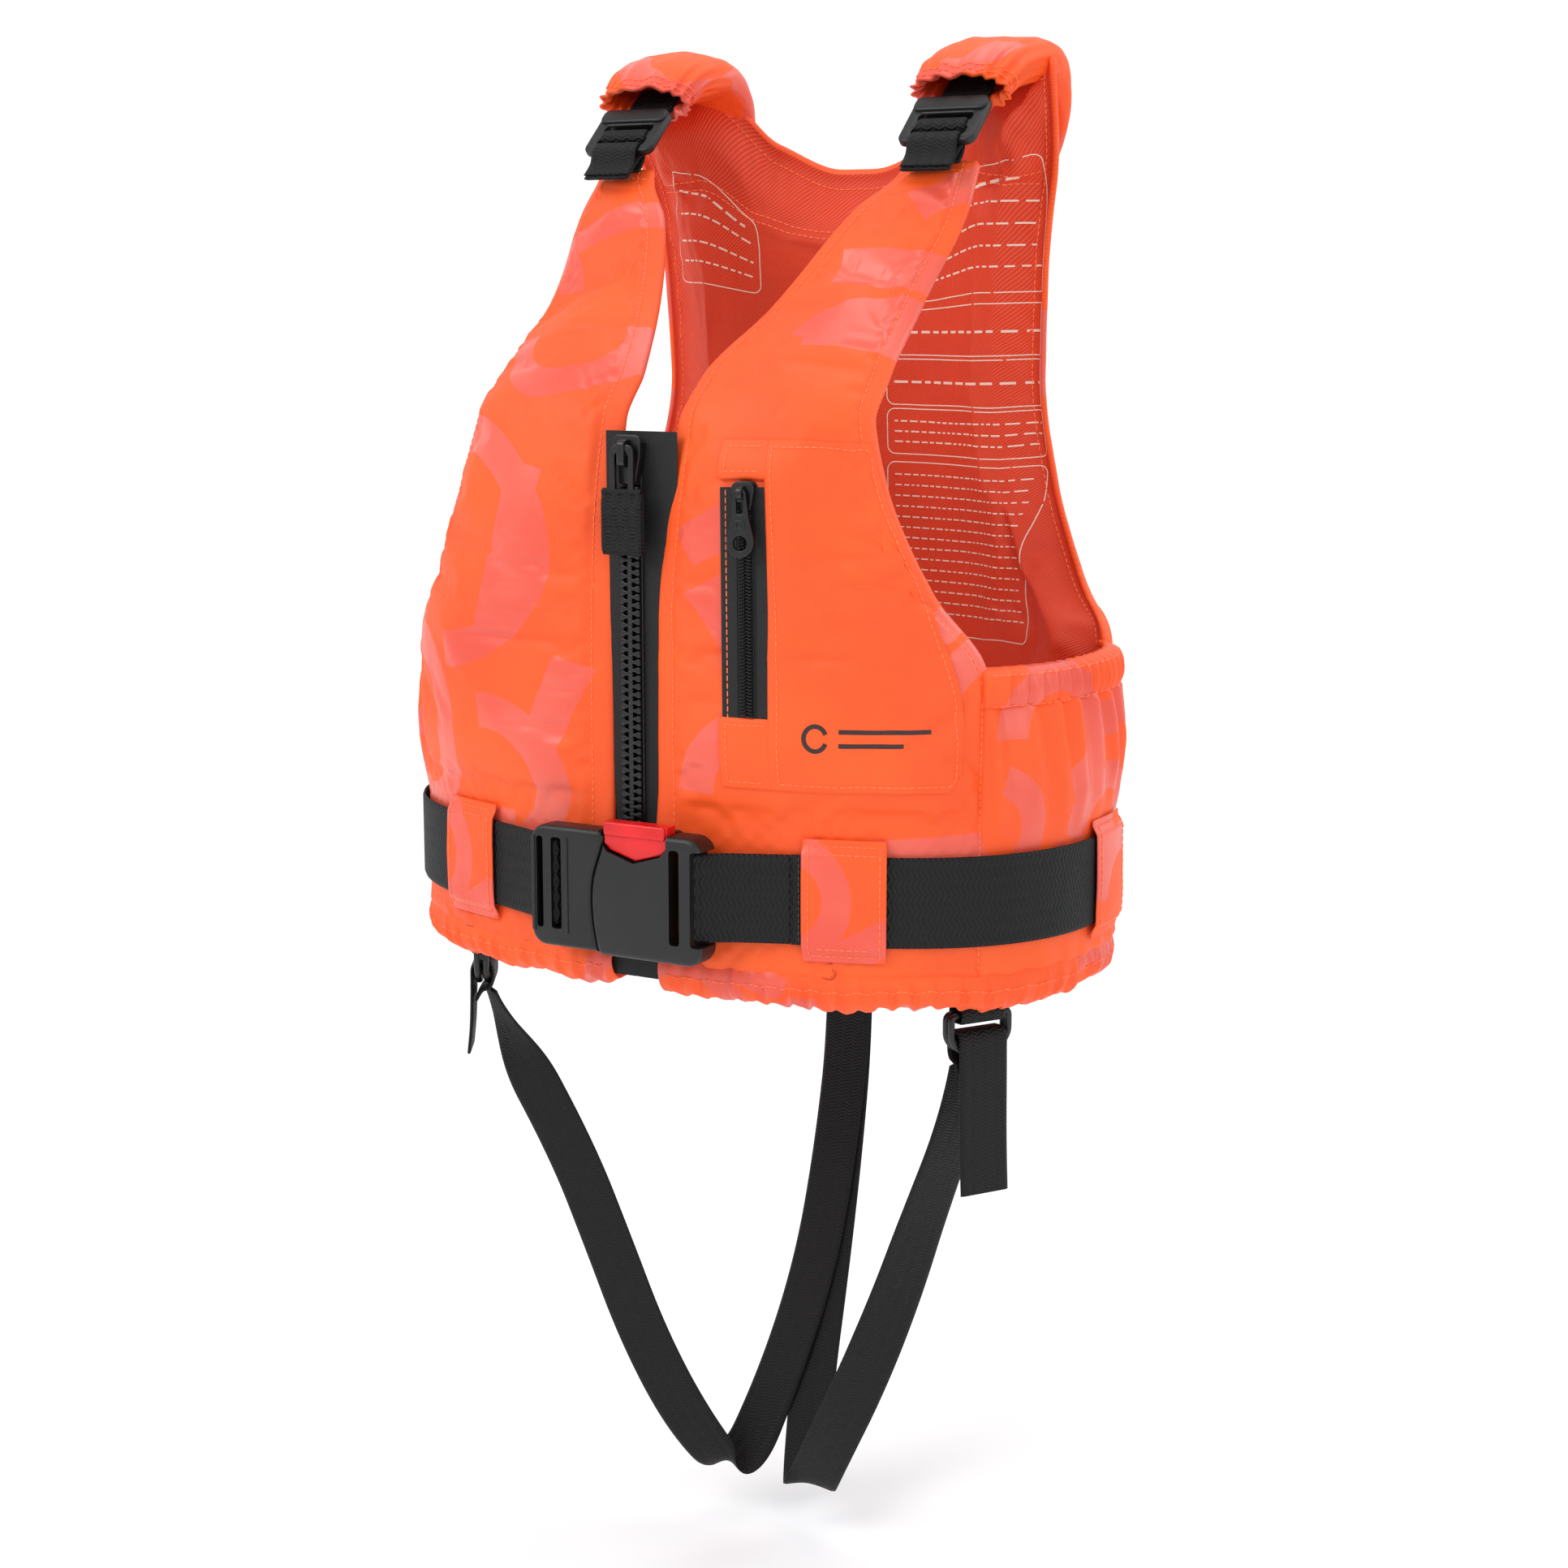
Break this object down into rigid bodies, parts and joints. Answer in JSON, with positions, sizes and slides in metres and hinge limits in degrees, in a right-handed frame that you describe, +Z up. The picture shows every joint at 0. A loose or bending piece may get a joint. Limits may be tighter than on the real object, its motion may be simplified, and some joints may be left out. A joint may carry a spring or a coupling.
{
  "type": "life jacket",
  "caption": "Child's padded life jacket with front zip, chest pocket, shoulder adjusters, push-button belt buckle and crotch straps.",
  "frame": {"origin": "on the body's middle line at the height of the waist belt's middle, where the wearer's waist is", "axes": "+Z up, front faces -Y, wearer's left is +X"},
  "size_m": [0.3534, 0.2464, 0.7036],
  "materials": {
    "orange_fabric": "woven nylon shell with tonal glossy print",
    "foam": "closed-cell buoyancy foam",
    "red_plastic": "smooth red",
    "black_plastic": "fine-grained black acetal",
    "black_metal": "black enamelled",
    "zip_teeth": "moulded black",
    "zip_tape": "black twill tape",
    "black_webbing": "ribbed black polypropylene webbing"
  },
  "bodies": {
    "jacket": {"anchor_loop_left": "black_webbing", "anchor_loop_right": "black_webbing", "belt_back": "black_webbing", "belt_front_left": "black_webbing", "belt_front_right": "black_webbing", "belt_keeper_front_left": "orange_fabric", "belt_keeper_front_right": "orange_fabric", "belt_keeper_rear_left": "orange_fabric", "belt_keeper_rear_right": "orange_fabric", "belt_keeper_side_left": "orange_fabric", "belt_keeper_side_right": "orange_fabric", "buckle_socket": "black_plastic", "cover_back": "orange_fabric", "cover_front_left": "orange_fabric", "cover_front_right": "orange_fabric", "crotch_strap_left": "black_webbing", "crotch_strap_right": "black_webbing", "d_ring_tab_left": "black_webbing", "d_ring_tab_right": "black_webbing", "foam_back": "foam", "foam_front_left": "foam", "foam_front_right": "foam", "front_zip_box": "zip_teeth", "front_zip_tape_left": "zip_tape", "front_zip_tape_right": "zip_tape", "front_zip_teeth_left": "zip_teeth", "front_zip_teeth_right": "zip_teeth", "hem_back": "orange_fabric", "hem_front_left": "orange_fabric", "hem_front_right": "orange_fabric", "pocket_panel": "orange_fabric", "pocket_zip_coil_left": "zip_teeth", "pocket_zip_coil_right": "zip_teeth", "pocket_zip_tape_left": "zip_tape", "pocket_zip_tape_right": "zip_tape", "shoulder_tunnel_left": "orange_fabric", "shoulder_tunnel_right": "orange_fabric", "shoulder_webbing_left": "black_webbing", "shoulder_webbing_right": "black_webbing", "side_band_left": "orange_fabric", "side_band_right": "orange_fabric", "side_panel_left": "orange_fabric", "side_panel_right": "orange_fabric"},
    "front_slider": {"front_zip_slider": "black_metal"},
    "front_pull": {"front_zip_pull": "black_metal", "front_zip_tag": "black_webbing"},
    "pocket_slider": {"pocket_zip_slider": "black_metal"},
    "pocket_pull": {"pocket_zip_pull": "black_metal"},
    "button": {"buckle_button": "red_plastic"},
    "tongue": {"buckle_tongue": "black_plastic"},
    "adjuster_left": {"shoulder_adjuster_left": "black_plastic"},
    "adjuster_right": {"shoulder_adjuster_right": "black_plastic"},
    "rings_left": {"d_ring_outer_left": "black_plastic", "d_ring_inner_left": "black_plastic", "crotch_strap_tail_left": "black_webbing"},
    "rings_right": {"d_ring_outer_right": "black_plastic", "d_ring_inner_right": "black_plastic", "crotch_strap_tail_right": "black_webbing"}
  },
  "joints": [
    {"name": "front_zip_slide", "type": "slide", "parent": "jacket", "child": "front_slider", "axis": [0, 0, -1], "range_m": [0, 0.108]},
    {"name": "front_pull_swing", "type": "hinge", "parent": "front_slider", "child": "front_pull", "pos_m": [-0.003, -0.11495, 0.1925], "axis": [-1, 0, 0], "range_deg": [0, 120]},
    {"name": "pocket_zip_slide", "type": "slide", "parent": "jacket", "child": "pocket_slider", "axis": [0.0244, -0.0273, -0.9993], "range_m": [0, 0.08]},
    {"name": "pocket_pull_swing", "type": "hinge", "parent": "pocket_slider", "child": "pocket_pull", "pos_m": [0.05863, -0.11853, 0.17457], "axis": [-0.9945, -0.1028, -0.0215], "range_deg": [0, 110]},
    {"name": "buckle_button_press", "type": "slide", "parent": "jacket", "child": "button", "axis": [0, 0, -1], "range_m": [0, 0.003], "stiffness_N_per_m": 1200, "springref_m": -0.001},
    {"name": "buckle_tongue_pull", "type": "slide", "parent": "jacket", "child": "tongue", "axis": [-1, 0, 0], "range_m": [0, 0.015], "deforming": ["belt_front_right"]},
    {"name": "shoulder_adjuster_tilt_left", "type": "hinge", "parent": "jacket", "child": "adjuster_left", "pos_m": [0.085, 0.00886, 0.32648], "axis": [1, 0, 0], "range_deg": [0, 22], "deforming": ["shoulder_webbing_left"]},
    {"name": "shoulder_adjuster_tilt_right", "type": "hinge", "parent": "jacket", "child": "adjuster_right", "pos_m": [-0.085, 0.00886, 0.32648], "axis": [1, 0, 0], "range_deg": [0, 22], "deforming": ["shoulder_webbing_right"]},
    {"name": "d_ring_swing_left", "type": "hinge", "parent": "jacket", "child": "rings_left", "pos_m": [0.13583, -0.04226, -0.057], "axis": [0.5163, 0.8564, 0], "range_deg": [-12, 12]},
    {"name": "d_ring_swing_right", "type": "hinge", "parent": "jacket", "child": "rings_right", "pos_m": [-0.13583, -0.04226, -0.057], "axis": [0.5163, -0.8564, 0], "range_deg": [-12, 12]}
  ]
}
